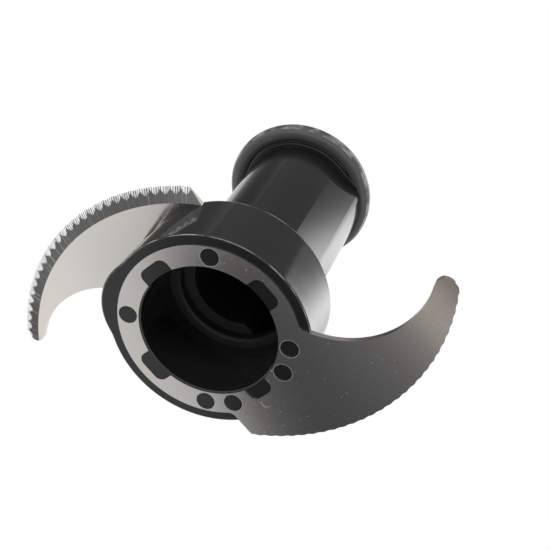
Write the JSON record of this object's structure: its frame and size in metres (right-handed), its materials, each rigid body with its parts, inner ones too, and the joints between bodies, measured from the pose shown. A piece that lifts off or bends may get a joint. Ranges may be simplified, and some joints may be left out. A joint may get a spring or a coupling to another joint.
{
  "type": "food processor blade",
  "caption": "S-shaped cutter for a food processor bowl: two curved steel arms with fluted edges at different heights, moulded into a tall hollow plastic hub with a domed cap.",
  "frame": {"origin": "on the bore's axis, at the underside of the lower blade's ring", "axes": "+Z along the bore, from the mouth to the cap; +X through the middle of the lower blade's root"},
  "size_m": [0.102, 0.154, 0.1095],
  "materials": {
    "steel": "fine brushed stainless strip, ground at the edges",
    "hub_plastic": "moulded, satin gloss",
    "insert_plastic": "moulded, matt"
  },
  "bodies": {
    "root": {"hub": "hub_plastic", "lower_blade": "steel", "upper_blade": "steel", "drive_insert": "insert_plastic", "cap": "hub_plastic"}
  },
  "joints": []
}
